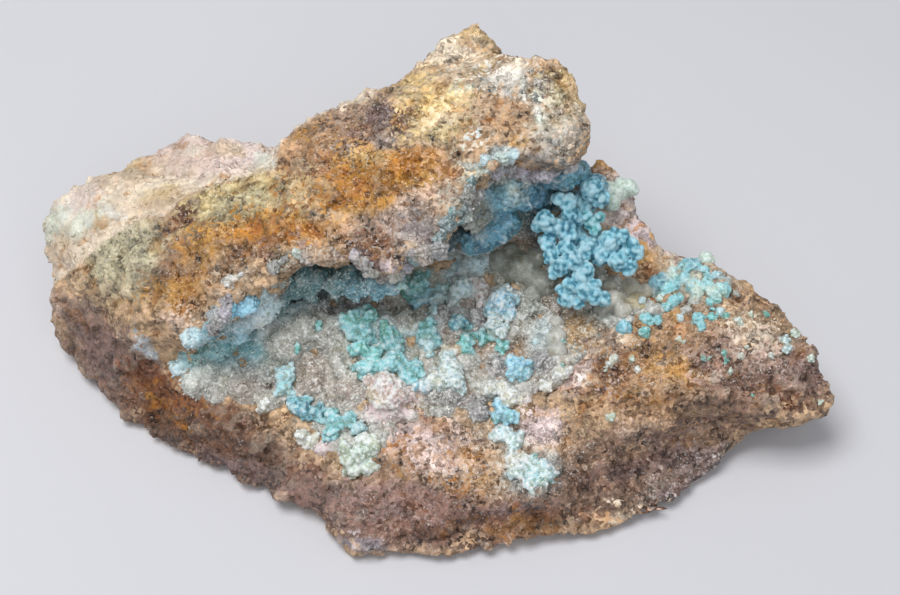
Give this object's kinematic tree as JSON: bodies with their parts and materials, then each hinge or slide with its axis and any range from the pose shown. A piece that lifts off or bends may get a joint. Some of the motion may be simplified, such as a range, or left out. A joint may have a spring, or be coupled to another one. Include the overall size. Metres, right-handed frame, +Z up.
{
  "type": "aurichalcite mineral specimen",
  "caption": "Hand specimen of stained matrix rock with a hollow across its sloping face, lined with botryoidal blue-green aurichalcite and pale druse.",
  "frame": {"origin": "on the surface that the rock rests on, under the middle of its extents in plan", "axes": "+X to the right along the hollow, +Y away from the sloping face towards the hidden back, +Z up"},
  "size_m": [0.104, 0.0702, 0.0398],
  "materials": {
    "matrix": "sugary broken rock, cream to ochre and rust stained",
    "hollow_crust": "finely crystalline botryoidal crust, teal and pale sky blue over grey-green druse",
    "arm_crust": "pale blue-green plates and balls with a satin sheen"
  },
  "bodies": {
    "root": {"matrix": "matrix", "hollow_crust": "hollow_crust", "arm_crust": "arm_crust"}
  },
  "joints": []
}
